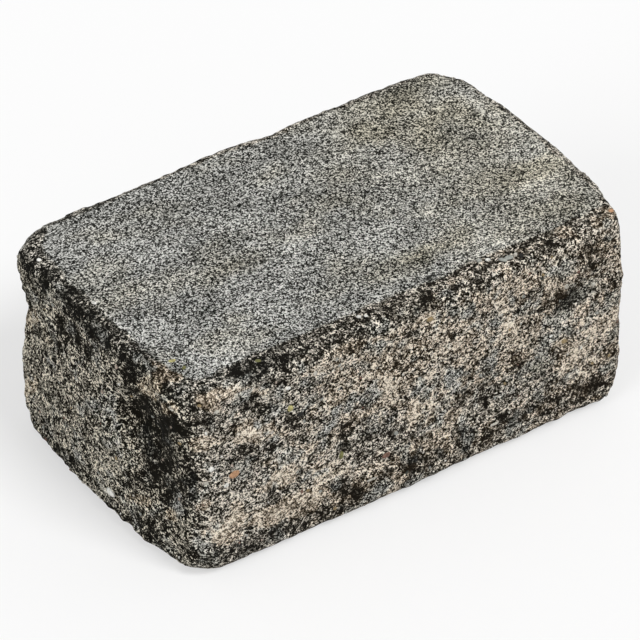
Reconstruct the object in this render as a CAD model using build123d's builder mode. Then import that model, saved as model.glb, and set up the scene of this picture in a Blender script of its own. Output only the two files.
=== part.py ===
from build123d import *
import math
import os

# One tumbled concrete wall block, cast in one piece. The lower bed, and the upper bed that carries the
# next course, are moulded flat. The front, the back and both ends are split rough and worn round.
# +X runs along the front face, which looks towards -Y. The origin is the middle of the lower bed.

# Driving dimensions, in millimetres. Lengths and depth lie between the plan's corners, before wear.
front_length = 336.5
back_length = 344.5
front_shift = 5.0
block_depth = 209.5
block_height = 152.0

# How far the middle of each side stands out from a straight line between its corners
front_bow = 1.5
right_end_bow = 8.0
back_bow = 3.5
left_end_bow = 7.0

# Rounding that tumbling left on the four upright corners and round the two beds
front_left_radius = 37.0
front_right_radius = 26.0
back_right_radius = 33.0
back_left_radius = 33.0
upper_edge_radius = 13.0
lower_edge_radius = 19.0

# The splitting took at least this much off each side, and left waves: length, heading in plan, rise,
# phase in degrees, and height
least_split = 1.6
split_waves = [
    (131.0, 20.0, 25.0, 40.0, 1.1),
    (89.0, 75.0, 50.0, 160.0, 0.8),
    (67.0, 130.0, 15.0, 250.0, 0.6),
    (53.0, 160.0, 60.0, 80.0, 0.5),
]

# The split surfaces are drawn through a net of this spacing that runs past the block on all sides
net_spacing = 9.0
net_margin = 32.0
net_tolerance = 0.2
cut_away = 80.0


def hollow(along, up, reach_along, reach_up, depth, steepness=1.0):
    """A dent centred at (along, up) on a side, or a swelling where its depth is negative."""

    def depth_at(a, u):
        spread = ((a - along) / reach_along) ** 2 + ((u - up) / reach_up) ** 2
        return depth * math.exp(-(spread**steepness))

    return depth_at


def wave_depth(point):
    """Depth of the split waves at a point, from nothing on their crests inward."""
    total = 0.0
    for length, heading, rise, phase, height in split_waves:
        direction = Vector(1, 0, 0).rotate(Axis.Y, -rise).rotate(Axis.Z, heading)
        turn = 2 * math.pi * point.dot(direction) / length + math.radians(phase)
        total += height * (1 + math.sin(turn)) / 2
    return total


class Side:
    """A split side of the block. Places on it are measured along from its first corner, and up."""

    def __init__(self, start, end, bow, forms):
        self.start = start
        self.end = end
        self.bow = bow
        self.forms = forms
        self.span = (end - start).length
        self.plane = Plane(origin=start, x_dir=end - start, z_dir=(end - start).cross(Vector(0, 0, 1)))

    def place(self, along, up, depth=0.0):
        """The point at a place on the bowed side, or inside it by a depth."""
        proud = self.bow * (1 - (2 * along / self.span - 1) ** 2)
        return self.plane.from_local_coords((along, up, proud - depth))

    def split_depth(self, along, up):
        """How much the splitting took off at a place."""
        worn = sum(form(along, up) for form in self.forms)
        return least_split + wave_depth(self.place(along, up)) + worn

    def surface(self):
        """The rough surface, drawn through a net of its points."""
        columns = math.ceil((self.span + 2 * net_margin) / net_spacing)
        rows = math.ceil((block_height + 2 * net_margin) / net_spacing)
        net = []
        for column in range(columns + 1):
            along = -net_margin + (self.span + 2 * net_margin) * column / columns
            line = []
            for row in range(rows + 1):
                up = -net_margin + (block_height + 2 * net_margin) * row / rows
                line.append(self.place(along, up, self.split_depth(along, up)))
            net.append(line)
        return Face.make_surface_from_array_of_points(net, tol=net_tolerance, min_deg=3, max_deg=3)


# Plan corners, before wear, set so that the bowed outline is centred on the origin
middle_x = (left_end_bow - right_end_bow) / 2
middle_y = (front_bow - back_bow) / 2
front_left = Vector(middle_x + (front_shift - front_length) / 2, middle_y - block_depth / 2, 0)
front_right = Vector(middle_x + (front_shift + front_length) / 2, middle_y - block_depth / 2, 0)
back_right = Vector(middle_x - (front_shift - back_length) / 2, middle_y + block_depth / 2, 0)
back_left = Vector(middle_x - (front_shift + back_length) / 2, middle_y + block_depth / 2, 0)
front_span = (front_right - front_left).length
right_span = (back_right - front_right).length
back_span = (back_left - back_right).length
left_span = (front_left - back_left).length

front = Side(
    front_left,
    front_right,
    front_bow,
    [
        hollow(front_span, block_height, 30, 36, 6.0),
        hollow(46, block_height - 22, 20, 16, 3.0),
        hollow(288, block_height - 48, 23, 20, 4.0),
        hollow(112, block_height - 116, 26, 18, 2.5),
        hollow(225, block_height - 96, 30, 20, 1.6),
        hollow(262, block_height, 22, 18, 2.5),
        hollow(96, 0, 22, 20, 2.0),
    ],
)
right_end = Side(
    front_right,
    back_right,
    right_end_bow,
    [
        hollow(0, block_height, 40, 36, 6.0),
        hollow(right_span, block_height, 34, 24, 6.5),
        hollow(120, block_height - 70, 36, 24, 2.5),
    ],
)
back = Side(
    back_right,
    back_left,
    back_bow,
    [
        hollow(110, block_height - 88, 44, 28, 2.5),
        hollow(245, block_height - 50, 40, 26, 2.0),
    ],
)
left_end = Side(
    back_left,
    front_left,
    left_end_bow,
    [
        hollow(left_span - 26, 0, 36, 34, 5.5),
        hollow(0, block_height - 54, 32, 26, 9.5),
        hollow(75, block_height - 22, 46, 20, 3.0),
        hollow(148, block_height - 54, 25, 18, 9.0, steepness=1.6),
        hollow(172, block_height - 92, 26, 30, 7.5, steepness=1.3),
        hollow(112, block_height - 72, 20, 28, -2.5),
        hollow(160, block_height - 17, 15, 12, 3.0),
        hollow(184, block_height - 14, 13, 15, -2.0),
    ],
)
sides = [front, right_end, back, left_end]


with BuildPart() as wall_block:
    with BuildSketch() as plan:
        with BuildLine():
            for side in sides:
                ThreePointArc(side.start, side.place(side.span / 2, 0), side.end)
        make_face()
        for corner, radius in [
            (front_left, front_left_radius),
            (front_right, front_right_radius),
            (back_right, back_right_radius),
            (back_left, back_left_radius),
        ]:
            fillet(plan.vertices().sort_by_distance(corner)[0], radius=radius)
    extrude(amount=block_height)

    fillet(wall_block.faces().sort_by(Axis.Z)[-1].edges(), radius=upper_edge_radius)
    fillet(wall_block.faces().sort_by(Axis.Z)[0].edges(), radius=lower_edge_radius)

    for side in sides:
        extrude(side.surface(), amount=cut_away, dir=side.plane.z_dir, mode=Mode.SUBTRACT)

os.makedirs("parts", exist_ok=True)
wall_block.part.label = "wall_block"
export_step(wall_block.part, "parts/wall_block.step")
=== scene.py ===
import itertools
import math
from typing import NamedTuple

import bmesh
import bpy
import numpy as np
from mathutils import Matrix, Vector
from mathutils.bvhtree import BVHTree
from mathutils.kdtree import KDTree


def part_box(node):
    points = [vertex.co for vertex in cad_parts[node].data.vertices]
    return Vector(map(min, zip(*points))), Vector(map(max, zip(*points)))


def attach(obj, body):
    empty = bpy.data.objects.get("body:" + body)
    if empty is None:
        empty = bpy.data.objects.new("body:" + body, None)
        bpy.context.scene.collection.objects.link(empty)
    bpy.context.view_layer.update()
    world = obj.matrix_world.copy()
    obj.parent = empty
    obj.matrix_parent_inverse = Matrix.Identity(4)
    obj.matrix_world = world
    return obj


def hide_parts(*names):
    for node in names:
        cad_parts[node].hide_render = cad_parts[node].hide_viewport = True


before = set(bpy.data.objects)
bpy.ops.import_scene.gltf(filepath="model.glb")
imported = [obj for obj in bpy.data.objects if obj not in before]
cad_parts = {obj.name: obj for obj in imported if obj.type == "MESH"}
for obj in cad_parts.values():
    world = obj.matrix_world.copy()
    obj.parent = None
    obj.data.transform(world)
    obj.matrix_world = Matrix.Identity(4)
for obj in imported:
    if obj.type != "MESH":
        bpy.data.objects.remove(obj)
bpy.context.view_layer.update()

# The plain solid gives way to a fine, rough surface of the same shape. Placed spots on it mark what the
# photo shows, and seeded noise adds the rest. Stones and grit sit in its split sides.

MM = 0.001
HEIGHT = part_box("wall_block")[1].z

# The photo's frame, and the camera fitted to the block's outline in it
PHOTO_SIDE = 640
FOCAL_PX = 4200.0
CAMERA_AZIMUTH = -33.62
CAMERA_ELEVATION = 39.38
CAMERA_DISTANCE = 2.716
AIM = Vector((0.0, 0.0, 0.075))
AIM_SIDEWAYS = -1.69 * MM
AIM_UP = -1.52 * MM
SENSOR = 36.0

# The fine surface's mesh size, and how it is worn soft
VOXEL = 1.8 * MM
SMOOTH_TURNS = 8
SMOOTH_SHARE = 0.5


def camera_axes():
    """Right, up and backward directions of the camera."""
    turn, lift = math.radians(CAMERA_AZIMUTH), math.radians(CAMERA_ELEVATION)
    back = Vector((math.sin(turn) * math.cos(lift), -math.cos(turn) * math.cos(lift), math.sin(lift)))
    right = Vector((math.cos(turn), math.sin(turn), 0.0))
    return right, back.cross(right), back


RIGHT, UP, BACK = camera_axes()
EYE = AIM + RIGHT * AIM_SIDEWAYS + UP * AIM_UP + BACK * CAMERA_DISTANCE


def make_camera():
    data = bpy.data.cameras.new("camera")
    data.sensor_width = SENSOR
    data.lens = FOCAL_PX * SENSOR / PHOTO_SIDE
    camera = bpy.data.objects.new("camera", data)
    camera.matrix_world = Matrix((RIGHT, UP, BACK)).transposed().to_4x4()
    camera.matrix_world.translation = EYE
    bpy.context.collection.objects.link(camera)
    bpy.context.scene.camera = camera


def in_photo(points):
    """Where points (N x 3, metres) lie in the photo, in pixels."""
    offset = points - np.array(EYE)
    depth = -offset @ np.array(BACK)
    across = PHOTO_SIDE / 2 + FOCAL_PX * (offset @ np.array(RIGHT)) / depth
    down = PHOTO_SIDE / 2 - FOCAL_PX * (offset @ np.array(UP)) / depth
    return across, down


def ray_through(across, down):
    """Direction from the eye through a place in the photo."""
    right = RIGHT * (across - PHOTO_SIDE / 2) / FOCAL_PX
    up = UP * (PHOTO_SIDE / 2 - down) / FOCAL_PX
    return (right + up - BACK).normalized()


def smooth_step(low, high, values):
    """0 at low, 1 at high, and a smooth rise between them. Low may be the larger."""
    share = np.clip((values - low) / (high - low), 0.0, 1.0)
    return share * share * (3.0 - 2.0 * share)


def blend(one, two, share):
    return one + (two - one) * share


class Noise:
    """Seeded smooth noise over space, from about -1 to 1."""

    TABLE = 256
    GAIN = 1.7
    SCATTER = 0.45

    def __init__(self, seed):
        random = np.random.default_rng(seed)
        self.order = random.permutation(self.TABLE)
        slopes = random.normal(size=(self.TABLE, 3))
        self.slopes = slopes / np.linalg.norm(slopes, axis=1)[:, None]

    def pick(self, cell):
        """A table row for each cell, always the same one."""
        one = self.order[cell[:, 2] % self.TABLE]
        two = self.order[(cell[:, 1] + one) % self.TABLE]
        return self.order[(cell[:, 0] + two) % self.TABLE]

    def at(self, points, size):
        """Noise whose lumps are about as long as size. It fades from corner to corner of each cell."""
        place = points / size
        cell = np.floor(place).astype(int)
        part = place - cell
        fade = part * part * part * (part * (part * 6 - 15) + 10)
        total = np.zeros(len(points))
        for corner in itertools.product((0, 1), repeat=3):
            slope = self.slopes[self.pick(cell + np.array(corner))]
            weight = np.prod(np.where(np.array(corner) == 1, fade, 1 - fade), axis=1)
            total += weight * (slope * (part - np.array(corner))).sum(axis=1)
        return total * self.GAIN

    def scattered(self, points, size):
        """Distance to the nearest of scattered points, in sizes, and that point's random number 0 to 1."""
        place = points / size
        cell = np.floor(place).astype(int)
        nearest = np.full(len(points), np.inf)
        number = np.zeros(len(points))
        for corner in itertools.product((-1, 0, 1), repeat=3):
            there = cell + np.array(corner)
            key = self.pick(there)
            centre = there + 0.5 + self.SCATTER * self.slopes[key]
            gap = np.linalg.norm(place - centre, axis=1)
            closer = gap < nearest
            nearest[closer] = gap[closer]
            number[closer] = self.order[key[closer]] / (self.TABLE - 1)
        return nearest, number


class Layer(NamedTuple):
    """A layer of noise: its seed, the size of its lumps in millimetres, and its strength.

    Each further step adds lumps half as long and half as strong. An along under 1 draws them out along X.
    """

    seed: int
    size: float
    strength: float = 1.0
    steps: int = 1
    along: float = 1.0

    def at(self, points):
        place = points * np.array((self.along, 1.0, 1.0))
        total = np.zeros(len(points))
        for step in range(self.steps):
            total += Noise(self.seed + step).at(place, self.size * MM / 2**step) / 2**step
        return self.strength * total


def layers_at(layers, points):
    return sum(layer.at(points) for layer in layers)


class Spot(NamedTuple):
    """An ellipse placed in the photo: centre and half sizes in pixels, turn in degrees, and strength."""

    across: float
    down: float
    half_length: float
    half_width: float
    turn: float
    strength: float

    def reach(self, across, down):
        """Distance from the centre, with 1 on the ellipse."""
        turn = math.radians(self.turn)
        side, drop = across - self.across, down - self.down
        on_length = side * math.cos(turn) + drop * math.sin(turn)
        on_width = drop * math.cos(turn) - side * math.sin(turn)
        return np.sqrt((on_length / self.half_length) ** 2 + (on_width / self.half_width) ** 2)


class Stone(NamedTuple):
    """A listed stone: centre in the photo, half sizes in millimetres, turn in degrees, colour."""

    across: float
    down: float
    half_length: float
    half_width: float
    turn: float
    colour: tuple


# Tan mortar patches on the split sides
TAN_SPOTS = [
    Spot(225, 394, 27, 8, -8, 0.85),
    Spot(212, 405, 13, 7, 20, 0.7),
    Spot(200, 404, 8, 6, 0, 0.35),
    Spot(256, 430, 25, 9, 5, 0.7),
    Spot(247, 439, 17, 6, 0, 0.4),
    Spot(215, 440, 14, 6, 0, 0.25),
    Spot(203, 443, 12, 7, -10, 0.7),
    Spot(262, 391, 7, 5, 0, 0.3),
    Spot(283, 475, 16, 10, -40, 0.8),
    Spot(264, 486, 10, 5, -35, 0.3),
    Spot(270, 462, 8, 4, -20, 0.35),
    Spot(306, 447, 7, 5, 0, 0.35),
    Spot(338, 398, 12, 8, -20, 0.3),
    Spot(297, 504, 28, 11, -22, 0.8),
    Spot(268, 516, 18, 10, -18, 0.8),
    Spot(226, 530, 23, 12, -28, 0.8),
    Spot(370, 440, 46, 18, -25, -0.22),
    Spot(500, 402, 56, 16, -25, -0.18),
    Spot(203, 505, 8, 5, -25, 0.45),
    Spot(238, 510, 8, 8, 0, 0.3),
    Spot(392, 382, 8, 11, 0, 0.4),
    Spot(413, 416, 6, 9, 10, 0.4),
    Spot(315, 373, 5, 5, 0, 0.3),
    Spot(305, 358, 6, 5, 0, 0.3),
    Spot(350, 346, 18, 8, -25, 0.2),
    Spot(374, 366, 20, 12, -25, 0.15),
    Spot(401, 479, 11, 4, 0, 0.3),
    Spot(326, 466, 18, 8, -20, 0.2),
    Spot(511, 326, 6, 9, 0, 0.5),
    Spot(507, 272, 6, 5, 0, 0.35),
    Spot(552, 286, 9, 9, 0, 0.4),
    Spot(614, 307, 7, 13, 0, 0.5),
    Spot(602, 326, 9, 5, -20, 0.45),
    Spot(589, 331, 9, 5, -16, 0.4),
    Spot(564, 342, 7, 6, 0, 0.35),
    Spot(578, 352, 13, 8, -30, 0.45),
    Spot(566, 368, 7, 7, 0, 0.4),
    Spot(460, 345, 10, 8, 0, 0.3),
    Spot(415, 413, 6, 9, 0, 0.35),
    Spot(452, 416, 9, 6, 0, 0.3),
    Spot(440, 440, 9, 6, -30, 0.35),
    Spot(500, 290, 30, 14, -20, 0.1),
    Spot(430, 319, 7, 6, 0, 0.4),
    Spot(598, 222, 9, 6, 0, 0.3),
    Spot(565, 232, 9, 6, 0, 0.3),
    Spot(609, 211, 6, 7, 60, 0.6),
    Spot(32, 317, 7, 9, 0, 0.9),
    Spot(31, 385, 6, 9, 0, 0.8),
    Spot(46, 336, 5, 9, 0, 0.3),
    Spot(150, 387, 12, 10, 30, 0.85),
    Spot(160, 371, 13, 8, 45, 0.7),
    Spot(171, 406, 8, 9, 60, 0.75),
    Spot(176, 376, 8, 6, 0, 0.75),
    Spot(142, 500, 13, 5, 20, 0.6),
    Spot(174, 515, 8, 6, 30, 0.7),
]

# Pits that the split tore out of the mortar. They are sunk into the relief and painted dark, which is
# painted shade in them
SHADED_PIT_SPOTS = [
    Spot(236, 371, 8, 6, 0, 0.45),
    Spot(284, 362, 5, 9, 0, 0.4),
    Spot(264, 368, 4, 6, 0, 0.35),
    Spot(280, 382, 9, 5, 0, 0.45),
    Spot(308, 386, 5, 5, 0, 0.4),
    Spot(329, 343, 5, 5, 0, 0.45),
    Spot(350, 350, 4, 5, 0, 0.35),
    Spot(312, 364, 4, 4, 0, 0.35),
    Spot(386, 348, 5, 7, 0, 0.25),
    Spot(405, 354, 3, 5, 0, 0.4),
    Spot(396, 364, 4, 3, 0, 0.3),
    Spot(243, 407, 6, 6, 0, 0.6),
    Spot(254, 399, 5, 8, 0, 0.6),
    Spot(262, 412, 9, 7, 10, 0.7),
    Spot(251, 423, 5, 3, 0, 0.4),
    Spot(233, 427, 5, 3, 0, 0.35),
    Spot(293, 423, 8, 8, 0, 0.4),
    Spot(307, 416, 5, 7, 0, 0.3),
    Spot(312, 402, 4, 4, 0, 0.35),
    Spot(328, 438, 6, 4, 0, 0.4),
    Spot(347, 429, 6, 6, 0, 0.5),
    Spot(344, 437, 5, 4, 0, 0.5),
    Spot(346, 449, 5, 4, 0, 0.45),
    Spot(360, 456, 7, 4, 0, 0.6),
    Spot(371, 430, 13, 4, -35, 0.35),
    Spot(396, 410, 6, 6, 0, 0.5),
    Spot(404, 394, 3, 4, 0, 0.5),
    Spot(367, 397, 5, 4, 0, 0.35),
    Spot(330, 389, 6, 5, 0, 0.35),
    Spot(252, 461, 6, 4, 0, 0.6),
    Spot(235, 462, 7, 6, 0, 0.35),
    Spot(246, 451, 8, 5, 0, 0.45),
    Spot(272, 449, 9, 5, 0, 0.4),
    Spot(275, 487, 4, 3, 0, 0.45),
    Spot(272, 494, 5, 4, 0, 0.4),
    Spot(341, 487, 6, 8, 0, 0.4),
    Spot(358, 493, 9, 6, -20, 0.35),
    Spot(411, 469, 6, 7, 0, 0.4),
    Spot(253, 517, 4, 6, 0, 0.4),
    Spot(249, 530, 5, 5, 0, 0.35),
    Spot(229, 517, 4, 3, 0, 0.3),
    Spot(192, 486, 5, 14, -8, 0.5),
    Spot(410, 334, 3, 3, 0, 0.6),
    Spot(417, 334, 4, 4, 0, 0.7),
    Spot(405, 371, 3, 4, 0, 0.4),
    Spot(414, 361, 4, 3, 0, 0.35),
    Spot(427, 358, 4, 3, 0, 0.4),
    Spot(434, 346, 3, 4, 0, 0.35),
    Spot(452, 335, 5, 4, 0, 0.4),
    Spot(453, 288, 4, 4, 0, 0.4),
    Spot(447, 277, 8, 3, -20, 0.3),
    Spot(427, 302, 7, 8, 0, 0.35),
    Spot(473, 292, 4, 4, 0, 0.3),
    Spot(481, 311, 4, 3, 0, 0.3),
    Spot(549, 304, 7, 4, 0, 0.6),
    Spot(560, 296, 5, 5, 0, 0.6),
    Spot(568, 301, 9, 5, -15, 0.85),
    Spot(574, 293, 4, 6, 0, 0.6),
    Spot(579, 284, 5, 7, 0, 0.4),
    Spot(590, 267, 4, 8, 20, 0.3),
    Spot(591, 250, 8, 7, 0, 0.35),
    Spot(607, 252, 6, 3, 0, 0.45),
    Spot(608, 240, 6, 4, 0, 0.35),
    Spot(607, 223, 6, 2, 0, 0.4),
    Spot(520, 256, 4, 4, 0, 0.7),
    Spot(526, 247, 6, 3, 0, 0.35),
    Spot(552, 232, 5, 7, 0, 0.3),
    Spot(547, 244, 6, 6, 0, 0.3),
    Spot(576, 234, 4, 4, 0, 0.3),
    Spot(532, 320, 7, 3, 0, 0.5),
    Spot(572, 333, 4, 4, 0, 0.45),
    Spot(560, 356, 4, 4, 0, 0.4),
    Spot(548, 366, 9, 4, 0, 0.35),
    Spot(598, 297, 4, 4, 0, 0.45),
    Spot(614, 286, 4, 4, 0, 0.4),
    Spot(606, 352, 6, 7, 0, 0.3),
    Spot(583, 368, 5, 3, 0, 0.35),
    Spot(590, 385, 16, 7, -25, 0.3),
    Spot(563, 381, 6, 5, 0, 0.3),
    Spot(470, 374, 6, 5, 0, 0.45),
    Spot(465, 381, 6, 4, 0, 0.45),
    Spot(452, 384, 6, 4, 0, 0.45),
    Spot(484, 390, 9, 5, -20, 0.35),
    Spot(482, 402, 8, 3, 0, 0.5),
    Spot(469, 394, 4, 3, 0, 0.35),
    Spot(516, 360, 5, 10, 0, 0.3),
    Spot(551, 385, 6, 5, 0, 0.3),
    Spot(503, 415, 8, 3, -20, 0.35),
    Spot(463, 431, 5, 6, 0, 0.45),
    Spot(438, 417, 4, 3, 0, 0.35),
    Spot(417, 437, 9, 7, 0, 0.35),
    Spot(28, 268, 5, 6, 0, 0.35),
    Spot(44, 288, 5, 7, 0, 0.35),
    Spot(46, 271, 5, 6, 0, 0.3),
    Spot(27, 308, 5, 4, 0, 0.7),
    Spot(34, 330, 6, 4, 0, 0.7),
    Spot(70, 288, 8, 4, 0, 0.35),
    Spot(67, 307, 5, 11, 0, 0.4),
    Spot(78, 313, 5, 7, 0, 0.4),
    Spot(60, 326, 5, 10, 0, 0.35),
    Spot(72, 337, 8, 6, 0, 0.4),
    Spot(62, 348, 5, 7, 0, 0.35),
    Spot(98, 333, 10, 8, 20, 0.45),
    Spot(91, 351, 7, 8, 0, 0.35),
    Spot(105, 346, 6, 8, 0, 0.35),
    Spot(131, 371, 6, 11, 0, 0.4),
    Spot(133, 391, 5, 8, 0, 0.45),
    Spot(145, 364, 4, 8, -20, 0.35),
    # Deep painted shade in the hollow under the broken front-left corner
    Spot(141, 405, 10, 12, 0, 0.9),
    Spot(157, 425, 14, 9, 0, 0.9),
    Spot(172, 426, 8, 6, 0, 0.8),
    Spot(166, 385, 3, 20, -35, 0.6),
    Spot(155, 450, 10, 8, 0, 0.45),
    Spot(150, 470, 8, 6, 0, 0.4),
    Spot(166, 466, 11, 9, 0, 0.35),
    Spot(180, 490, 8, 10, 0, 0.6),
    Spot(190, 484, 5, 14, -8, 0.6),
    Spot(170, 498, 8, 6, 0, 0.45),
    Spot(128, 484, 6, 4, 0, 0.55),
    Spot(186, 513, 4, 4, 0, 0.4),
    Spot(88, 416, 6, 3, 20, 0.6),
    Spot(57, 420, 6, 3, 0, 0.5),
    Spot(68, 411, 4, 3, 0, 0.35),
    Spot(46, 421, 5, 7, 0, 0.3),
    Spot(60, 454, 8, 5, 30, 0.35),
    Spot(69, 461, 7, 6, 0, 0.35),
    Spot(112, 506, 12, 4, 40, 0.3),
    Spot(135, 521, 10, 7, 30, 0.35),
    Spot(150, 526, 5, 11, -10, 0.35),
    Spot(194, 555, 8, 5, 0, 0.3),
    Spot(204, 423, 15, 7, 0, 0.35),
]

# Darker patches, with a negative strength, and paler ones. Those in the hollow under the broken front-left
# corner are painted shadow over dark mortar, and the thin pale line along the left rim is a painted
# highlight
PAINTED_LIGHT_AND_TONE_SPOTS = [
    Spot(204, 423, 16, 8, 0, -0.14),
    Spot(238, 456, 22, 8, 0, -0.10),
    Spot(298, 432, 16, 14, 0, -0.17),
    Spot(330, 440, 16, 9, 0, -0.14),
    Spot(350, 430, 14, 16, 30, -0.14),
    Spot(370, 411, 12, 10, 0, -0.20),
    Spot(382, 438, 30, 12, -25, -0.16),
    Spot(346, 491, 16, 10, -20, -0.18),
    Spot(232, 372, 26, 7, -6, -0.10),
    Spot(280, 362, 18, 12, 0, -0.08),
    Spot(325, 375, 26, 14, -10, -0.03),
    Spot(270, 534, 24, 7, -25, -0.14),
    Spot(301, 524, 20, 7, -25, -0.22),
    Spot(332, 510, 20, 7, -28, -0.22),
    Spot(232, 547, 17, 8, -15, -0.12),
    Spot(370, 482, 26, 8, -24, -0.16),
    Spot(400, 466, 20, 9, -20, -0.14),
    Spot(426, 458, 30, 11, -25, -0.24),
    Spot(476, 436, 34, 11, -25, -0.25),
    Spot(530, 410, 34, 10, -24, -0.26),
    Spot(318, 503, 26, 9, -25, -0.14),
    Spot(585, 388, 26, 10, -25, -0.15),
    Spot(440, 440, 26, 10, -25, -0.14),
    Spot(608, 244, 8, 9, 0, -0.12),
    Spot(566, 398, 30, 8, -24, -0.12),
    Spot(492, 362, 15, 14, 0, -0.10),
    Spot(484, 392, 16, 10, 0, -0.12),
    Spot(516, 372, 9, 20, 0, -0.08),
    Spot(565, 300, 18, 9, -15, -0.28),
    Spot(613, 345, 8, 16, 0, -0.14),
    Spot(615, 268, 8, 24, 0, -0.12),
    Spot(590, 262, 16, 18, 0, -0.12),
    Spot(548, 242, 16, 10, 0, -0.10),
    Spot(606, 350, 10, 12, 0, -0.08),
    Spot(425, 305, 12, 12, 0, -0.12),
    Spot(385, 312, 18, 8, -20, -0.08),
    # Painted shadow in the hollow under the broken front-left corner and down the corner's edge, over mortar
    # that is dark there too
    Spot(150, 414, 25, 18, 10, -0.46),
    Spot(170, 428, 16, 11, 0, -0.36),
    Spot(166, 462, 32, 40, 12, -0.34),
    Spot(158, 430, 26, 26, 0, -0.10),
    Spot(190, 480, 7, 26, -8, -0.20),
    Spot(192, 508, 11, 18, -8, -0.20),
    Spot(190, 416, 12, 13, 0, -0.18),
    Spot(550, 146, 22, 11, 35, 0.20),
    Spot(500, 160, 26, 14, -20, 0.05),
    Spot(430, 178, 22, 10, -20, -0.08),
    # Painted shadow at the top of that hollow
    Spot(130, 380, 9, 20, -10, -0.10),
    Spot(72, 318, 22, 26, 0, -0.20),
    Spot(34, 300, 10, 14, 0, -0.10),
    Spot(54, 450, 14, 9, 45, -0.16),
    Spot(98, 344, 16, 18, 0, -0.20),
    Spot(45, 278, 16, 14, 30, -0.02),
    Spot(236, 354, 30, 14, -20, 0.12),
    Spot(400, 316, 13, 7, -22, 0.10),
    Spot(345, 341, 14, 6, -22, 0.12),
    Spot(212, 440, 20, 6, -6, 0.10),
    Spot(272, 480, 18, 9, -38, 0.08),
    Spot(222, 522, 20, 8, -28, 0.08),
    Spot(268, 512, 14, 10, -20, 0.10),
    Spot(112, 330, 22, 6, 42, -0.10),
    Spot(148, 358, 18, 8, 45, -0.22),
    Spot(508, 256, 18, 6, -22, -0.14),
    Spot(76, 370, 26, 22, 0, -0.06),
    Spot(585, 295, 20, 24, 0, -0.06),
    Spot(178, 372, 14, 8, 20, -0.12),
    Spot(62, 458, 16, 7, 42, -0.04),
    Spot(112, 500, 30, 16, 42, 0.05),
    Spot(142, 526, 22, 9, 38, 0.04),
    Spot(192, 556, 14, 6, 20, -0.12),
    Spot(225, 394, 28, 8, -8, 0.30),
    Spot(214, 407, 7, 5, 20, 0.10),
    Spot(256, 430, 20, 6, 5, 0.08),
    Spot(283, 474, 13, 7, -40, 0.12),
    Spot(297, 503, 24, 8, -22, 0.08),
    Spot(226, 530, 18, 9, -28, 0.08),
    Spot(391, 384, 7, 10, 0, 0.26),
    Spot(398, 374, 5, 5, 0, 0.10),
    Spot(413, 416, 4, 7, 10, 0.10),
    Spot(315, 373, 4, 4, 0, 0.12),
    Spot(337, 397, 9, 5, -20, 0.08),
    Spot(262, 391, 6, 4, 0, 0.08),
    Spot(511, 326, 6, 9, 0, 0.26),
    Spot(507, 272, 4, 3, 0, 0.10),
    Spot(514, 407, 4, 5, 0, 0.08),
    Spot(499, 410, 6, 3, -20, 0.08),
    Spot(566, 285, 3, 4, 0, 0.12),
    Spot(593, 284, 4, 4, 0, 0.14),
    Spot(615, 307, 5, 12, 0, 0.08),
    Spot(578, 352, 12, 6, -30, 0.08),
    Spot(549, 350, 4, 6, 0, 0.08),
    Spot(117, 412, 4, 10, -6, 0.20),
    Spot(81, 447, 6, 8, 0, 0.12),
    Spot(110, 491, 7, 4, 25, 0.34),
    Spot(97, 470, 4, 4, 0, 0.12),
    Spot(88, 368, 6, 5, 0, 0.08),
    Spot(46, 362, 5, 9, 0, 0.08),
    Spot(47, 387, 5, 6, 0, 0.08),
    Spot(31, 385, 5, 7, 0, 0.08),
    Spot(32, 316, 5, 7, 0, 0.10),
    Spot(171, 407, 6, 7, 60, 0.06),
    Spot(142, 501, 11, 4, 20, 0.06),
    Spot(66, 430, 5, 4, 0, 0.06),
    # A painted highlight along the left rim
    Spot(122, 328, 26, 3, 42, 0.14),
    Spot(96, 302, 7, 3, 20, 0.12),
    Spot(40, 262, 4, 3, 0, 0.14),
    Spot(540, 180, 24, 4, -22, 0.20),
    Spot(550, 176, 34, 14, -25, 0.08),
    Spot(292, 247, 9, 4, -35, 0.16),
    Spot(232, 318, 14, 6, 0, 0.06),
    Spot(490, 112, 10, 6, 0, 0.08),
    Spot(205, 350, 40, 9, -12, 0.05),
    Spot(560, 196, 20, 7, -10, -0.08),
    Spot(410, 190, 14, 5, -10, -0.10),
    Spot(350, 122, 16, 9, 0, -0.08),
    Spot(392, 108, 24, 9, -20, -0.07),
    Spot(185, 208, 22, 6, -12, -0.09),
    Spot(190, 318, 24, 3, -14, -0.12),
    Spot(160, 264, 24, 4, -10, -0.06),
    Spot(290, 228, 22, 6, -40, -0.06),
    Spot(290, 172, 16, 10, -20, -0.07),
    Spot(310, 276, 20, 4, -20, -0.07),
    Spot(375, 290, 30, 5, -20, -0.06),
]

# Warm stains on the upper bed
STAIN_SPOTS = [
    Spot(470, 118, 18, 9, 10, 0.35),
    Spot(526, 172, 24, 10, -20, 0.4),
    Spot(424, 143, 20, 11, 0, 0.35),
    Spot(372, 128, 20, 14, 0, 0.3),
    Spot(484, 184, 30, 14, -20, 0.4),
    Spot(285, 142, 50, 16, -22, -0.2),
    Spot(430, 95, 20, 10, 0, -0.2),
    Spot(440, 206, 26, 9, -20, 0.3),
    Spot(230, 318, 9, 7, 0, 0.3),
    Spot(380, 140, 7, 6, 0, 0.3),
    Spot(396, 268, 40, 12, -20, 0.55),
    Spot(450, 240, 40, 14, -22, 0.15),
    Spot(560, 205, 26, 12, -20, 0.3),
    Spot(330, 292, 26, 7, -22, 0.3),
    Spot(404, 100, 30, 12, -18, 0.3),
]

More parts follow.
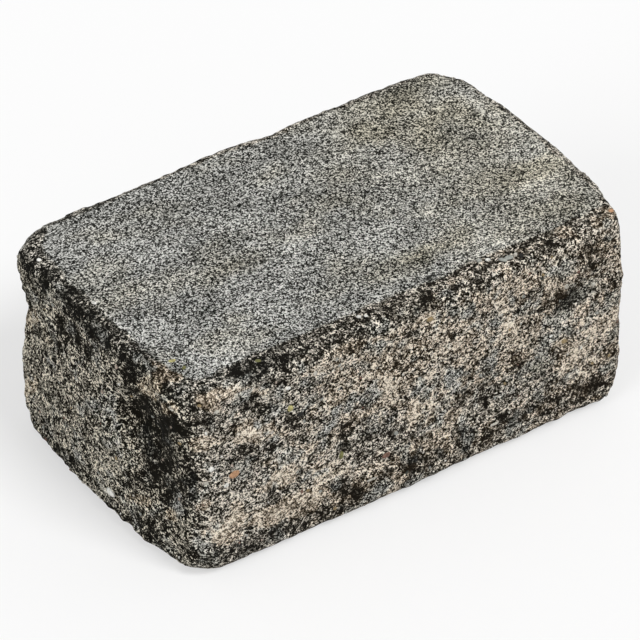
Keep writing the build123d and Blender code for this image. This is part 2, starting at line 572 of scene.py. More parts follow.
# Relief too fine for the solid, in millimetres outward
RELIEF_SPOTS = [
    Spot(222, 385, 26, 3, -10, 0.8),
    Spot(222, 401, 26, 9, -10, -0.8),
    Spot(204, 425, 16, 7, 0, -0.6),
    Spot(256, 421, 24, 3, 5, 0.5),
    Spot(346, 492, 13, 9, 0, -0.8),
    Spot(150, 387, 10, 8, 40, 0.8),
    Spot(171, 406, 8, 8, 60, 0.8),
    Spot(34, 316, 7, 7, 0, 1.6),
    Spot(119, 412, 5, 11, -8, 1.2),
    Spot(110, 491, 6, 4, 25, 1.0),
    Spot(391, 382, 7, 9, 0, 0.8),
    Spot(511, 326, 5, 8, 0, 0.8),
    Spot(508, 259, 10, 4, -12, 1.0),
]

# Forms of the outline too fine for the solid, in millimetres outward
OUTLINE_SPOTS = [
    Spot(384, 87, 46, 9, -22, 1.2),
    Spot(310, 115, 30, 8, -23, 1.0),
    Spot(215, 154, 34, 8, -25, 1.4),
    Spot(428, 74, 8, 4, 0, 0.8),
    Spot(450, 77, 9, 6, 10, -1.4),
    Spot(486, 96, 14, 6, 35, -1.0),
    Spot(592, 180, 12, 6, 50, 1.2),
    Spot(620, 238, 5, 12, 0, 1.2),
    Spot(604, 400, 10, 8, 0, 2.0),
    Spot(618, 357, 5, 10, 0, 0.8),
    Spot(27, 320, 6, 24, 0, -1.2),
    Spot(27, 341, 6, 9, 0, -1.0),
    Spot(26, 308, 5, 4, 0, -1.2),
    Spot(45, 446, 8, 18, -40, 1.0),
    Spot(178, 552, 12, 7, 30, -1.2),
    Spot(250, 553, 4, 3, 0, -1.2),
]

# Stones' colours
WHITE = (0.86, 0.85, 0.80)
PALE = (0.60, 0.57, 0.50)
GREY_WHITE = (0.36, 0.37, 0.335)
DARK_GREEN = (0.045, 0.050, 0.040)
YELLOW = (0.50, 0.46, 0.20)
YELLOW_GREEN = (0.18, 0.18, 0.07)
ORANGE = (0.52, 0.30, 0.17)
RED_BROWN = (0.20, 0.115, 0.085)
PINK = (0.50, 0.41, 0.34)
OCHRE = (0.34, 0.26, 0.14)
BLACK = (0.012, 0.012, 0.010)

# Stones placed one by one
STONES = [
    Stone(234, 474, 3.6, 2.2, -8, ORANGE),
    Stone(211, 469, 1.8, 2.0, 60, WHITE),
    Stone(226, 485, 1.4, 1.8, 60, WHITE),
    Stone(206, 483, 1.4, 1.6, 60, PALE),
    Stone(359, 317, 1.6, 1.2, 0, WHITE),
    Stone(366, 316, 1.2, 1.0, 0, WHITE),
    Stone(479, 261, 1.8, 1.6, 0, GREY_WHITE),
    Stone(488, 260, 1.8, 1.3, 0, WHITE),
    Stone(39, 260, 1.6, 1.2, 20, WHITE),
    Stone(94, 303, 1.8, 1.2, 30, WHITE),
    Stone(503, 260, 2.8, 1.5, 10, GREY_WHITE),
    Stone(509, 258, 3.0, 1.7, -25, GREY_WHITE),
    Stone(515, 255, 1.3, 1.9, 20, PALE),
    # A black stone standing in for the shade in a small hole, which a pit spot also paints dark
    Stone(521, 256, 1.5, 1.8, 0, BLACK),
    Stone(290, 408, 1.7, 2.4, 20, YELLOW),
    Stone(341, 455, 1.3, 2.6, 10, YELLOW_GREEN),
    Stone(172, 361, 2.2, 1.2, -15, YELLOW),
    Stone(184, 368, 1.2, 1.6, 30, YELLOW_GREEN),
    Stone(258, 361, 2.0, 1.2, 0, YELLOW_GREEN),
    Stone(386, 455, 3.0, 1.8, 0, RED_BROWN),
    Stone(372, 479, 3.6, 0.8, -8, PALE),
    Stone(494, 424, 3.2, 0.9, -20, PALE),
    Stone(111, 492, 4.0, 2.2, 25, WHITE),
    Stone(430, 319, 2.4, 1.8, 0, OCHRE),
    Stone(564, 341, 2.2, 1.6, 0, OCHRE),
    Stone(288, 388, 1.6, 1.3, 0, WHITE),
    Stone(216, 412, 2.0, 1.4, 10, PALE),
    Stone(315, 373, 1.5, 1.7, 0, PALE),
    Stone(396, 433, 1.4, 1.4, 0, GREY_WHITE),
    Stone(566, 286, 1.5, 1.8, 0, PALE),
    Stone(593, 284, 1.8, 1.6, 0, PALE),
    Stone(611, 211, 1.4, 1.8, 50, ORANGE),
    Stone(300, 414, 2.2, 1.8, 0, BLACK),
]

# A stone's shape: its bulges and their size, the power that squares it, its thickness against its width, the
# rise of its middle in half thicknesses, and the half length from which it is drawn finer
STONE_BULGE = 0.22
STONE_BULGE_SIZE = 0.9
STONE_SQUARING = 0.85
STONE_THICKNESS = 0.6
STONE_RISE = 0.25
LARGE_STONE = 2 * MM

# A stone's clouds and grains, its mean shade and its bumps
STONE_CLOUDS = 1.6 * MM
STONE_GRAINS = 0.5 * MM
STONE_SHADE = 0.85
STONE_BUMP = 0.15 * MM

# The grit all round, as small stones: how many, half lengths in millimetres, width and thickness against the
# length, distances from the floor and the top, and how level the faces that carry it may be
GRIT_TINTS = [WHITE, PALE, PALE, GREY_WHITE, GREY_WHITE, DARK_GREEN, BLACK, BLACK, RED_BROWN, PINK, OCHRE]
GRIT_STONES = 340
GRIT_HALF_LENGTH = (0.7, 1.5)
GRIT_WIDTH = (0.55, 0.9)
GRIT_THICKNESS = 0.5
GRIT_ABOVE_FLOOR = 6 * MM
GRIT_BELOW_TOP = 5 * MM
GRIT_LEVEL = 0.8

# Seeds of the placed stones' shapes, of the grit's few shapes and of the grit's places
STONE_SEED = 200
GRIT_SEED = 300
GRIT_SHAPES = 12
GRIT_PLACES_SEED = 7

# How far along the photo's horizontal a normal may point before stones take their turns from the upright
NEARLY_ALONG = 0.95

# How uneven the edges of the placed spots are, and how soft
WARP = Layer(11, 13, 0.30, steps=3)
SMALL_WARP = Layer(15, 5, 0.3)
SPOT_SOFTNESS = 0.35
WIDE_SOFTNESS = 0.6

# How far the placed spots hold chance back where the photo shows the surface
PHOTO_HOLD = 0.75

# Parts of a point's normal, between which it comes to count as seen in the photo, as near the outline, as on
# an end, as on a side that looks away, and as on a bed
SEEN_NORMAL = (0.0, 0.12)
OUTLINE_NORMAL = (-0.45, -0.15)
END_NORMAL = (0.5, 0.9)
AWAY_NORMAL = (0.1, 0.5)
BED_NORMAL = (0.45, 0.85)

# The same for a rim, as a middle and a reach to both sides
RIM_NORMAL = 0.55
RIM_REACH = 0.45

# The split bites into a bed's edge on the left, and further in front. The front's bite grows between two
# places along X and two along Y, and any bite between two parts of the nearest side's normal
LEFT_EDGE_BITE = 4.5 * MM
FRONT_EDGE_BITE = 7.5 * MM
FRONT_ALONG = (-155 * MM, -120 * MM)
FRONT_ACROSS = (20 * MM, -40 * MM)
BITE_NORMAL = (-0.02, -0.08)
BITE_WANDER = [Layer(12, 6, 1.2), Layer(16, 18, 1.6)]

# A bed tilts less than this, and the split fades out over this breadth
BED_TILT = 0.02
SPLIT_EDGE = 2.0 * MM

# Relief of the split sides, the beds and the rims, in millimetres
SIDE_RELIEF = [Layer(21, 42, 0.7, steps=3), Layer(32, 7, 0.6), Layer(33, 4.2, 0.42)]
BED_RELIEF = [Layer(41, 60, 0.20, steps=2), Layer(32, 7, 0.10), Layer(33, 4.2, 0.12)]
RIM_RELIEF = [Layer(51, 19, 0.8), Layer(52, 8, 0.6)]
RIM_WEAR = 0.3
SIDE_RIDGES = Layer(31, 17, 0.35)
LEFT_END_GAIN = 0.4
BED_STANDS_OUT = 0.5 * MM

# Pits torn by chance: the noise, the levels between which it becomes a pit, and the depth. The placed pits'
# depth comes last
SIDE_PITS = Layer(35, 9)
SIDE_PIT_EDGE = (0.35, 0.6)
SIDE_PIT_DEPTH = 1.2
BED_PITS = Layer(36, 7)
BED_PIT_EDGE = (0.5, 0.75)
BED_PIT_DEPTH = 0.35
PLACED_PIT_DEPTH = 1.6

# Lumps of coarse stone under the split skin: seed, spacing, share of the places that have one, reach in
# spacings, and height
LUMP_SEED = 34
LUMP_SPACING = 8 * MM
LUMP_SHARE = 0.45
LUMP_REACH = 0.42
LUMP_HEIGHT = 0.7

# Bands of the split sides, from where they fade out to where they are whole. The foot's is measured above
# the floor, the others below the top
RIM_BAND = (17 * MM, 6 * MM)
CHIPPED_RIM_BAND = (10 * MM, 2 * MM)
FAR_RIM_BAND = (22 * MM, 8 * MM)
SHADED_FOOT_BAND = (34 * MM, 10 * MM)
BAND_WANDER = Layer(14, 16, 4)

# The same for two parts of the block, along X
RIGHT_PART = (-60 * MM, 50 * MM)
NEAR_CORNER = (-50 * MM, -110 * MM)


class Shift(NamedTuple):
    """What a region of the split sides adds to the numbers that the concrete's material reads.

    They are the share of tan mortar, the lightness, which holds painted shade on the left end and at the
    foot, the share of pits, which the material paints dark as painted shade, the warm tint, the grain's
    contrast and the tint's redness.
    """

    tan: float = 0.0
    light: float = 0.0
    pit: float = 0.0
    olive: float = 0.0
    rough: float = 0.0
    rose: float = 0.0


REGION_SHIFTS = {
    "whole side": Shift(tan=0.60, light=-0.05, pit=0.32, olive=0.70, rough=1.08, rose=1.0),
    # The left end's lightness is painted shade on the end turned from the key lamp. Its mortar is also
    # greyer, less tan and less rose
    "shaded left end": Shift(tan=-0.40, light=-0.23, pit=0.06, olive=0.20, rose=-0.7),
    "either end": Shift(rough=0.55),
    "right part": Shift(light=-0.04),
    "near corner": Shift(tan=-0.28, light=-0.04),
    "under the rim": Shift(tan=-0.32, light=-0.27),
    "under the left rim": Shift(light=-0.08),
    "far rim": Shift(tan=-0.35, light=-0.06),
    # The foot is painted darker: painted shade near the floor, over darker concrete there
    "shaded foot": Shift(tan=-0.12, light=-0.14),
    "mottle": Shift(light=1.0),
    "placed tan": Shift(tan=1.2),
    "tan patch": Shift(light=0.17, rough=-0.42),
    "placed pit": Shift(pit=1.0),
    "chance tan": Shift(tan=0.28, light=0.06),
    "chance dark": Shift(tan=-0.15, light=-0.12, pit=0.10),
}

# How much weaker the rim's dark band is on the sides that look away, and on the right part
RIM_LOSS_AWAY = 0.7
RIM_LOSS_RIGHT = 0.35

# Light and dark patches by chance, stronger on the ends and where the photo doesn't show the surface
MOTTLE = [Layer(81, 60, 0.05), Layer(82, 30, 0.08), Layer(83, 14, 0.14)]
MOTTLE_SHARE = 0.9
MOTTLE_GAIN_HIDDEN = 0.5
MOTTLE_GAIN_END = 0.5

# Tan and dark patches by chance, and the levels of the noise between which they set in
CHANCE_TAN = Layer(61, 48, steps=4)
CHANCE_TAN_EDGE = (0.15, 0.5)
CHANCE_DARK = Layer(71, 40, steps=4)
CHANCE_DARK_EDGE = (0.2, 0.6)

# The beds' share of tan, contrast and lightness, and the strength of their streaks, more on the right part
BED_TAN = -0.6
BED_ROUGH = 0.80
BED_LIGHT = -0.055
BED_LIGHT_RIGHT = 0.015
BED_STREAKS = Layer(91, 22, steps=3, along=0.45)
STREAK_LIGHT = 0.09
STREAK_LIGHT_RIGHT = 0.05

# The beds' warm stains: everywhere, in blotches, more towards the right, and most towards the far right
# corner. The corner's share grows with X and some of Y, and chance breaks it up
STAIN_EVERYWHERE = 0.02
STAIN_BLOTCHES = Layer(95, 34, 0.60, steps=3, along=0.6)
STAIN_RIGHT = 0.08
STAINED_RIGHT = (-80 * MM, 0.0)
STAIN_CORNER = 0.45
STAINED_CORNER = (0.0, 120 * MM)
CORNER_SLANT = 0.4
CORNER_CHANCE = 0.6

# Limits of the numbers that spots and chance could drive too far
LIMITS = {"tan": (-0.6, 1.2), "light": (-0.8, 0.6), "olive": (0.0, 1.0)}


def fine_mesh(node):
    """A close, even mesh of a solid, with its creases worn soft."""
    block = bpy.data.objects.new("rough_block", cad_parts[node].data.copy())
    bpy.context.collection.objects.link(block)
    remesh = block.modifiers.new("even", "REMESH")
    remesh.mode = "VOXEL"
    remesh.voxel_size = VOXEL
    smooth = block.modifiers.new("worn", "SMOOTH")
    smooth.factor = SMOOTH_SHARE
    smooth.iterations = SMOOTH_TURNS
    shaped = block.evaluated_get(bpy.context.evaluated_depsgraph_get())
    block.data = bpy.data.meshes.new_from_object(shaped)
    block.modifiers.clear()
    return block


def read_points(mesh):
    points = np.empty(len(mesh.vertices) * 3)
    mesh.vertices.foreach_get("co", points)
    normals = np.empty(len(mesh.vertices) * 3)
    mesh.vertices.foreach_get("normal", normals)
    return points.reshape(-1, 3), normals.reshape(-1, 3)


def in_front(points):
    """1 along the upper bed's front edge, where the rim is chipped away more than elsewhere."""
    return smooth_step(*FRONT_ALONG, points[:, 0]) * smooth_step(*FRONT_ACROSS, points[:, 1])


def split_share(points, normals):
    """1 on the split sides, 0 on the moulded beds. On the left and in front the split bites into the bed."""
    tilt = 1 - np.abs(normals[:, 2])
    sides = np.flatnonzero(tilt > BED_TILT)
    tree = KDTree(len(sides))
    for number, index in enumerate(sides):
        tree.insert(points[index], number)
    tree.balance()
    gap = np.zeros(len(points))
    outward = np.zeros(len(points))
    for index in np.flatnonzero(tilt <= BED_TILT):
        number, gap[index] = tree.find(points[index])[1:]
        outward[index] = min(normals[sides[number], 0], normals[sides[number], 1])
    bite = LEFT_EDGE_BITE + FRONT_EDGE_BITE * in_front(points)
    bite *= smooth_step(*BITE_NORMAL, outward)
    wander = layers_at(BITE_WANDER, points) * MM
    return 1 - smooth_step(0.0, SPLIT_EDGE, gap + wander - bite)


class Surface:
    """The fine mesh's points, and what follows from where they lie and which way they face."""

    def __init__(self, mesh):
        self.points, self.normals = read_points(mesh)
        self.across, self.down = in_photo(self.points)
        self.towards = self.normals @ np.array(BACK)
        self.seen = smooth_step(*SEEN_NORMAL, self.towards)
        self.hidden = 1 - PHOTO_HOLD * self.seen
        self.left = smooth_step(*END_NORMAL, -self.normals[:, 0])
        self.split = split_share(self.points, self.normals)
        self.warp = WARP.at(self.points)
        self.small_warp = SMALL_WARP.at(self.points)
        self.torn = self.spots(SHADED_PIT_SPOTS, self.small_warp) * self.seen

    def spots(self, spots, warp, soft=SPOT_SOFTNESS):
        """The spots' strengths added up, with edges made uneven by a warp."""
        total = np.zeros(len(self.points))
        for spot in spots:
            near = spot.reach(self.across, self.down) + warp
            total += spot.strength * (1 - smooth_step(1 - soft, 1 + soft, near))
        return total


def lumps(points):
    """Lumps of coarse stone, from 0 to 1 at their tops."""
    gap, number = Noise(LUMP_SEED).scattered(points, LUMP_SPACING)
    return np.clip(1 - (gap / LUMP_REACH) ** 2, 0, 1) * (number > 1 - LUMP_SHARE)


def relief(surface):
    """How far each point moves outward, in millimetres."""
    points = surface.points
    placed = surface.spots(RELIEF_SPOTS, surface.small_warp) * surface.seen
    placed -= PLACED_PIT_DEPTH * np.clip(surface.torn, 0, 1)
    near_outline = smooth_step(*OUTLINE_NORMAL, surface.towards)
    placed += surface.spots(OUTLINE_SPOTS, surface.small_warp, WIDE_SOFTNESS) * near_outline

    side = layers_at(SIDE_RELIEF, points) + LUMP_HEIGHT * lumps(points)
    side += SIDE_RIDGES.strength - 2 * np.abs(SIDE_RIDGES.at(points))
    side -= SIDE_PIT_DEPTH * smooth_step(*SIDE_PIT_EDGE, SIDE_PITS.at(points)) * surface.hidden
    side *= 1 + LEFT_END_GAIN * surface.left
    bed = layers_at(BED_RELIEF, points)
    bed -= BED_PIT_DEPTH * smooth_step(*BED_PIT_EDGE, BED_PITS.at(points))
    rim = layers_at(RIM_RELIEF, points) - RIM_WEAR

    level = np.abs(surface.normals[:, 2])
    on_bed = smooth_step(*BED_NORMAL, level)
    on_rim = np.clip(1 - np.abs(level - RIM_NORMAL) / RIM_REACH, 0, 1)
    return blend(side, bed, on_bed) + on_rim * rim + placed


def move_points(mesh, surface):
    """Moves the mesh's points by the relief, and keeps the lower bed on the floor."""
    moved = surface.points + surface.normals * (relief(surface) * MM)[:, None]
    moved[:, 2] = np.clip(moved[:, 2], 0.0, HEIGHT + BED_STANDS_OUT)
    mesh.vertices.foreach_set("co", moved.ravel())
    mesh.update()


def side_regions(surface, chance):
    """How far each point belongs to each region of the split sides."""
    points, normals = surface.points, surface.normals
    drop = HEIGHT - points[:, 2] + BAND_WANDER.at(points) * MM
    away = smooth_step(*AWAY_NORMAL, np.maximum(normals[:, 0], normals[:, 1]))
    end = smooth_step(*END_NORMAL, np.abs(normals[:, 0]))
    right_part = smooth_step(*RIGHT_PART, points[:, 0])
    rim_band = [blend(*edges, in_front(points)) for edges in zip(RIM_BAND, CHIPPED_RIM_BAND)]
    under_rim = smooth_step(*rim_band, drop)
    under_rim *= (1 - RIM_LOSS_AWAY * away) * (1 - RIM_LOSS_RIGHT * right_part)
    placed_tan = surface.spots(TAN_SPOTS, surface.warp) * surface.seen
    mottle_share = MOTTLE_SHARE + MOTTLE_GAIN_HIDDEN * surface.hidden + MOTTLE_GAIN_END * end
    return {
        "whole side": 1.0,
        "shaded left end": surface.left,
        "either end": end,
        "right part": right_part,
        "near corner": smooth_step(*NEAR_CORNER, points[:, 0]) * surface.seen * (1 - surface.left),
        "under the rim": under_rim,
        "under the left rim": under_rim * surface.left,
        "far rim": away * smooth_step(*FAR_RIM_BAND, drop),
        "shaded foot": smooth_step(*SHADED_FOOT_BAND, HEIGHT - drop),
        "mottle": layers_at(MOTTLE, points) * mottle_share,
        "placed tan": placed_tan,
        "tan patch": np.clip(placed_tan, 0, 1),
        "placed pit": surface.torn,
        "chance tan": surface.hidden * smooth_step(*CHANCE_TAN_EDGE, chance),
        "chance dark": surface.hidden * smooth_step(*CHANCE_DARK_EDGE, CHANCE_DARK.at(points)),
    }


def bed_stains(surface, chance):
    """How warm the beds are stained."""
    points = surface.points
    to_corner = points[:, 0] + CORNER_SLANT * points[:, 1]
    stains = STAIN_EVERYWHERE + np.maximum(STAIN_BLOTCHES.at(points), 0)
    stains += STAIN_RIGHT * smooth_step(*STAINED_RIGHT, points[:, 0])
    stains += STAIN_CORNER * smooth_step(*STAINED_CORNER, to_corner) * (1 + CORNER_CHANCE * chance)
    return stains + surface.spots(STAIN_SPOTS, surface.warp, WIDE_SOFTNESS) * surface.seen


def bed_lightness(surface, right_part):
    streaks = STREAK_LIGHT + STREAK_LIGHT_RIGHT * right_part
    return BED_LIGHT + BED_LIGHT_RIGHT * right_part + streaks * BED_STREAKS.at(surface.points)


def write_colours(mesh, surface):
    """Writes the numbers that the concrete's material reads at each point."""
    chance = CHANCE_TAN.at(surface.points)
    regions = side_regions(surface, chance)
    beds = Shift(
        tan=BED_TAN,
        light=bed_lightness(surface, regions["right part"]),
        olive=bed_stains(surface, chance),
        rough=BED_ROUGH,
    )
    numbers = {}
    for name, bed in beds._asdict().items():
        side = sum(getattr(REGION_SHIFTS[region], name) * share for region, share in regions.items())
        numbers[name] = blend(bed, side, surface.split)
    numbers["light"] += surface.spots(PAINTED_LIGHT_AND_TONE_SPOTS, surface.warp) * surface.seen
    for name, limits in LIMITS.items():
        numbers[name] = np.clip(numbers[name], *limits)
    numbers["split"] = surface.split
    for name, values in numbers.items():
        attribute = mesh.attributes.new(name, "FLOAT", "POINT")
        attribute.data.foreach_set("value", values.astype(np.float32))


class Nodes:
    """Short calls for the nodes of a material or of the sky."""

    def __init__(self, owner):
        owner.use_nodes = True
        self.tree = owner.node_tree
        self.tree.nodes.clear()

    def add(self, kind, inputs=None, **settings):
        node = self.tree.nodes.new(kind)
        for key, value in settings.items():
            setattr(node, key, value)
        for key, value in (inputs or {}).items():
            self.feed(node.inputs[key], value)
        return node

    def feed(self, socket, value):
        if isinstance(value, bpy.types.NodeSocket):
            self.tree.links.new(value, socket)
        else:
            socket.default_value = value

    def math(self, operation, *values, clamp=False):
        node = self.add("ShaderNodeMath", operation=operation, use_clamp=clamp)
        for socket, value in zip(node.inputs, values):
            self.feed(socket, value)
        return node.outputs[0]

    def number(self, name):
        """A number written on the mesh."""
        return self.add("ShaderNodeAttribute", attribute_name=name).outputs["Fac"]

    def place(self):
        """Where a point lies on its object, in metres."""
        return self.add("ShaderNodeTexCoord").outputs["Object"]

    def straight(self):
        """1 for what the camera sees straight or mirrored, 0 for light that has bounced."""
        seen = self.add("ShaderNodeLightPath")
        return self.math("MAXIMUM", seen.outputs["Is Camera Ray"], seen.outputs["Is Glossy Ray"])

    def grey(self, shade):
        return self.add("ShaderNodeCombineColor", {0: shade, 1: shade, 2: shade}).outputs[0]

    def ramp(self, share, stops):
        node = self.add("ShaderNodeValToRGB", {"Fac": share})
        points = node.color_ramp.elements
        while len(points) < len(stops):
            points.new(0.5)
        for point, (place, colour) in zip(points, stops):
            point.position = place
            point.color = (*colour, 1.0)
        return node.outputs["Color"]

    def mix(self, share, one, two, mode="MIX"):
        node = self.add("ShaderNodeMix", data_type="RGBA", blend_type=mode)
        colours = [socket for socket in node.inputs if socket.type == "RGBA"]
        self.feed(node.inputs[0], share)
        self.feed(colours[0], one)
        self.feed(colours[1], two)
        return next(socket for socket in node.outputs if socket.type == "RGBA")

    def cells(self, place, size):
        """A random number of each grain of a size, about a middle of 0, and the distance to its centre."""
        node = self.add("ShaderNodeTexVoronoi", {"Vector": place, "Scale": 1 / size})
        picked = self.add("ShaderNodeSeparateColor", {"Color": node.outputs["Color"]})
        return self.math("SUBTRACT", picked.outputs[0], 0.5), node.outputs["Distance"]

    def noise(self, place, size, detail=2.0):
        """Noise about a middle of 0."""
        node = self.add("ShaderNodeTexNoise", {"Vector": place, "Scale": 1 / size, "Detail": detail})
        return self.math("SUBTRACT", node.outputs["Fac"], 0.5)

    def step(self, value, low, high):
        """0 below low, 1 above high."""
        node = self.add(
            "ShaderNodeMapRange",
            {"Value": value, "From Min": low, "From Max": high},
            interpolation_type="SMOOTHSTEP",
        )
        return node.outputs["Result"]

    def total(self, *terms):
        """The terms added up, each a value and its weight."""
        result = 0.0
        for value, weight in terms:
            result = self.math("MULTIPLY_ADD", value, weight, result)
        return result

    def finish(self, colour, bump, roughness, shine):
        """Ends a solid's material with a surface of a colour and a bump."""
        surface = self.add(
            "ShaderNodeBsdfPrincipled",
            {
                "Base Color": colour,
                "Roughness": roughness,
                "Specular IOR Level": shine,
                "Normal": bump.outputs["Normal"],
            },
        )
        self.add("ShaderNodeOutputMaterial", {"Surface": surface.outputs[0]})


# The concrete's grains from dark to light, where the mortar is grey and where it is tan
GREY_GRAINS = [
    (0.0, (0.006, 0.006, 0.005)),
    (0.28, (0.036, 0.036, 0.032)),
    (0.5, (0.180, 0.182, 0.170)),
    (0.75, (0.43, 0.43, 0.405)),
    (1.0, (0.86, 0.86, 0.82)),
]
TAN_GRAINS = [
    (0.0, (0.012, 0.009, 0.005)),
    (0.28, (0.052, 0.042, 0.030)),
    (0.5, (0.230, 0.198, 0.155)),
    (0.75, (0.49, 0.440, 0.370)),
    (1.0, (0.90, 0.86, 0.78)),
]

# Warm tints over both, on the beds and on the split sides
OLIVE_TINT = (1.0, 0.94, 0.80, 1.0)
ROSE_TINT = (1.0, 0.91, 0.80, 1.0)

# Sizes of the grain that only the colour and the bumps show
FINE_GRAIN = 0.92 * MM
COARSE_GRAIN = 2.3 * MM
SPECKS = 0.65 * MM
RAGGED_EDGES = 3.2 * MM
PATCHES = 8 * MM
GRAIN_BUMP = 0.35 * MM

# Levels between which a grain turns light, tan mortar sets in, and a pit sets in
GRAIN_STEP = (-0.4, 0.4)
TAN_STEP = (0.3, 0.7)
PIT_STEP = (0.43, 0.57)

# The least share of tan mortar, against the tan number
LEAST_TAN = 0.8

# The middle of the grains' lightness, and how much darker the split sides' coarse grain makes them
MIDDLE = 0.5
COARSE_DARKENING = 0.05


def concrete_material():
    material = bpy.data.materials.new("rough_concrete")
    n = Nodes(material)
    place = n.place()
    split = n.number("split")
    rough = n.number("rough")
    fine, fine_gap = n.cells(place, FINE_GRAIN)
    coarse = n.cells(place, COARSE_GRAIN)[0]
    specks = n.noise(place, SPECKS)
    ragged = n.noise(place, RAGGED_EDGES, detail=4.0)
    patchy = n.noise(place, PATCHES, detail=5.0)

    # Tan and grey mortar, and the pits painted dark as painted shade, meet in broken lines
    tan = n.step(n.total((n.number("tan"), 1.0), (patchy, 1.2)), *TAN_STEP)
    tan = n.math("MAXIMUM", tan, n.math("MULTIPLY", n.number("tan"), LEAST_TAN))
    pit = n.step(n.total((n.number("pit"), 1.0), (ragged, 1.3)), *PIT_STEP)

    # The grain's contrast grows about its middle, and the split sides have a coarser grain besides
    grain = n.math("MULTIPLY", rough, n.total((n.step(fine, *GRAIN_STEP), 1.0), (specks, 1.6)))
    # The pits darken the lightness here: painted shade in them
    patches = n.total((coarse, 0.8), (ragged, 1.4), (patchy, 0.8), (tan, 0.12), (pit, -0.36))
    patches = n.math("SUBTRACT", patches, COARSE_DARKENING)
    patches = n.math("MULTIPLY", n.math("MULTIPLY", split, rough), patches)
    middle = n.total((rough, -MIDDLE), (n.number("light"), 1.0), (MIDDLE, 1.0))
    lightness = n.math("ADD", n.math("ADD", grain, patches), middle)
    colour = n.mix(tan, n.ramp(lightness, GREY_GRAINS), n.ramp(lightness, TAN_GRAINS))
    tint = n.mix(n.number("rose"), OLIVE_TINT, ROSE_TINT)
    colour = n.mix(n.number("olive"), colour, tint, mode="MULTIPLY")

    split_grain = n.math("MULTIPLY", coarse, split)
    height = n.total((fine, 0.6), (fine_gap, -1.0), (split_grain, 0.9), (pit, -1.2))
    bump = n.add("ShaderNodeBump", {"Height": height, "Distance": GRAIN_BUMP, "Strength": 0.6})
    n.finish(colour, bump, roughness=0.95, shine=0.06)
    return material


def make_block():
    """The block's rough surface, which takes the place of the plain solid."""
    block = fine_mesh("wall_block")
    surface = Surface(block.data)
    move_points(block.data, surface)
    write_colours(block.data, surface)
    block.data.materials.clear()
    block.data.materials.append(concrete_material())
    block.data.polygons.foreach_set("use_smooth", [True] * len(block.data.polygons))
    block.data.update()
    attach(block, "root")
    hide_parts("wall_block")
    return block


def tangent_frame(normal, turn):
    """Two axes along a surface, turned by an angle from the photo's horizontal, and its normal."""
    start = UP if abs(RIGHT.dot(normal)) > NEARLY_ALONG else RIGHT
    along = (start - normal * start.dot(normal)).normalized()
    along = Matrix.Rotation(turn, 3, normal) @ along
    return Matrix((along, normal.cross(along), normal)).transposed()


def add_stone(shape, place, axes, half_sizes, tint, seed):
    """A worn stone, with about a third of it sunk into the surface."""
    layer = shape.verts.layers.float_color["tint"]
    divisions = 3 if half_sizes[0] > LARGE_STONE else 2
    made = bmesh.ops.create_icosphere(shape, subdivisions=divisions, radius=1.0)
    local = np.array([tuple(vert.co) for vert in made["verts"]])
    bulge = 1 + STONE_BULGE * Noise(seed).at(local + seed, STONE_BULGE_SIZE)
    rise = Vector((0, 0, half_sizes[2] * STONE_RISE))
    for vert, factor in zip(made["verts"], bulge):
        squared = Vector([math.copysign(abs(value) ** STONE_SQUARING, value) for value in vert.co])
        spread = Vector([value * half for value, half in zip(squared * factor, half_sizes)])
        vert.co = place + axes @ (spread + rise)
        vert[layer] = (*tint, 1.0)


def stone_material():
    material = bpy.data.materials.new("stone_grit")
    n = Nodes(material)
    place = n.place()
    tint = n.add("ShaderNodeAttribute", attribute_name="tint").outputs["Color"]
    clouds = n.noise(place, STONE_CLOUDS, detail=4.0)
    grains = n.noise(place, STONE_GRAINS)
    shade = n.math("ADD", n.total((clouds, 1.8), (grains, 1.2)), STONE_SHADE, clamp=True)
    colour = n.mix(1.0, tint, n.grey(shade), mode="MULTIPLY")
    bump = n.add("ShaderNodeBump", {"Height": grains, "Distance": STONE_BUMP, "Strength": 0.5})
    n.finish(colour, bump, roughness=0.7, shine=0.25)
    return material


def add_placed_stones(shape, tree):
    """Adds each listed stone, where the sight line through its place meets the block."""
    for number, stone in enumerate(STONES):
        place, normal = tree.ray_cast(EYE, ray_through(stone.across, stone.down))[:2]
        axes = tangent_frame(normal, -math.radians(stone.turn))
        half_width = stone.half_width * MM
        half_sizes = (stone.half_length * MM, half_width, half_width * STONE_THICKNESS)
        add_stone(shape, place, axes, half_sizes, stone.colour, STONE_SEED + number)


def carries_grit(face):
    inside = GRIT_ABOVE_FLOOR < face.center.z < HEIGHT - GRIT_BELOW_TOP
    return inside and abs(face.normal.z) < GRIT_LEVEL


def add_grit(shape, faces):
    """Small stones by chance, all round the split sides."""
    random = np.random.default_rng(GRIT_PLACES_SEED)
    sides = [face.index for face in faces if carries_grit(face)]
    for number, index in enumerate(random.choice(sides, GRIT_STONES, replace=False)):
        face = faces[int(index)]
        half = random.uniform(*GRIT_HALF_LENGTH) * MM
        half_sizes = (half, half * random.uniform(*GRIT_WIDTH), half * GRIT_THICKNESS)
        tint = GRIT_TINTS[int(random.integers(len(GRIT_TINTS)))]
        axes = tangent_frame(face.normal, random.uniform(0, 2 * math.pi))
        add_stone(shape, face.center.copy(), axes, half_sizes, tint, GRIT_SEED + number % GRIT_SHAPES)


def make_stones(block):
    """The stones and grit that show in the split sides."""
    shape = bmesh.new()
    shape.verts.layers.float_color.new("tint")
    add_placed_stones(shape, BVHTree.FromObject(block, bpy.context.evaluated_depsgraph_get()))
    add_grit(shape, block.data.polygons)
    mesh = bpy.data.meshes.new("stones")
    shape.to_mesh(mesh)
    shape.free()
    mesh.materials.append(stone_material())
    mesh.polygons.foreach_set("use_smooth", [True] * len(mesh.polygons))
    stones = bpy.data.objects.new("stones", mesh)
    bpy.context.collection.objects.link(stones)
    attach(stones, "root")


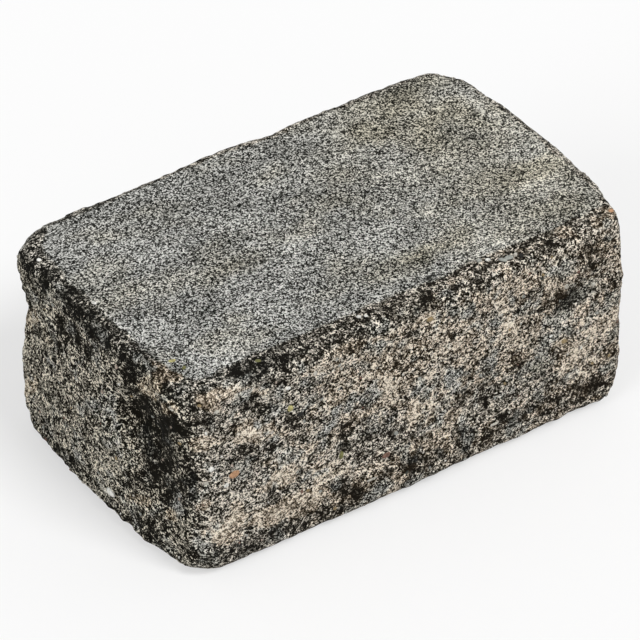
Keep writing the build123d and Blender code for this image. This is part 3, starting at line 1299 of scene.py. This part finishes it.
# The pale floor: its half width, its shade in bounced light, how much paler it looks, and how much it glows
FLOOR_HALF = 6.0
FLOOR_SHADE = 0.5
FLOOR_LOOKS_PALER = 0.4
FLOOR_GLOW = 0.5

# The sky's strength as a light, and how much brighter it looks
SKY_STRENGTH = 0.5
SKY_LOOKS_BRIGHTER = 0.5
WHITE_LIGHT = (1.0, 1.0, 1.0, 1.0)


def make_floor():
    material = bpy.data.materials.new("pale_floor")
    n = Nodes(material)
    straight = n.straight()
    shade = n.math("MULTIPLY_ADD", straight, FLOOR_LOOKS_PALER, FLOOR_SHADE)
    matt = n.add("ShaderNodeBsdfDiffuse", {"Color": n.grey(shade)})
    glow = n.add("ShaderNodeEmission", {"Color": WHITE_LIGHT, "Strength": 1.0})
    glowing = n.math("MULTIPLY", straight, FLOOR_GLOW)
    shown = n.add("ShaderNodeMixShader", {0: glowing, 1: matt.outputs[0], 2: glow.outputs[0]})
    n.add("ShaderNodeOutputMaterial", {"Surface": shown.outputs[0]})
    mesh = bpy.data.meshes.new("floor")
    shape = bmesh.new()
    bmesh.ops.create_grid(shape, x_segments=1, y_segments=1, size=FLOOR_HALF)
    shape.to_mesh(mesh)
    shape.free()
    mesh.materials.append(material)
    floor = bpy.data.objects.new("floor", mesh)
    bpy.context.collection.objects.link(floor)


def make_lamp(name, direction, strength, angle):
    """A distant soft lamp that shines from a direction."""
    data = bpy.data.lights.new(name, "SUN")
    data.energy = strength
    data.angle = math.radians(angle)
    lamp = bpy.data.objects.new(name, data)
    lamp.rotation_euler = direction.to_track_quat("Z", "Y").to_euler()
    bpy.context.collection.objects.link(lamp)


def make_light():
    """An even white sky, a key lamp from the front and a fill lamp from the left."""
    world = bpy.data.worlds.new("studio")
    bpy.context.scene.world = world
    n = Nodes(world)
    strength = n.math("MULTIPLY_ADD", n.straight(), SKY_LOOKS_BRIGHTER, SKY_STRENGTH)
    sky = n.add("ShaderNodeBackground", {"Color": WHITE_LIGHT, "Strength": strength})
    n.add("ShaderNodeOutputWorld", {"Surface": sky.outputs[0]})
    make_lamp("key", direction=Vector((0.3, -1.0, 1.35)), strength=1.65, angle=20)
    make_lamp("fill", direction=Vector((-1.0, -0.25, 0.6)), strength=0.95, angle=30)


make_camera()
make_stones(make_block())
make_floor()
make_light()
bpy.context.scene.view_settings.view_transform = "Standard"
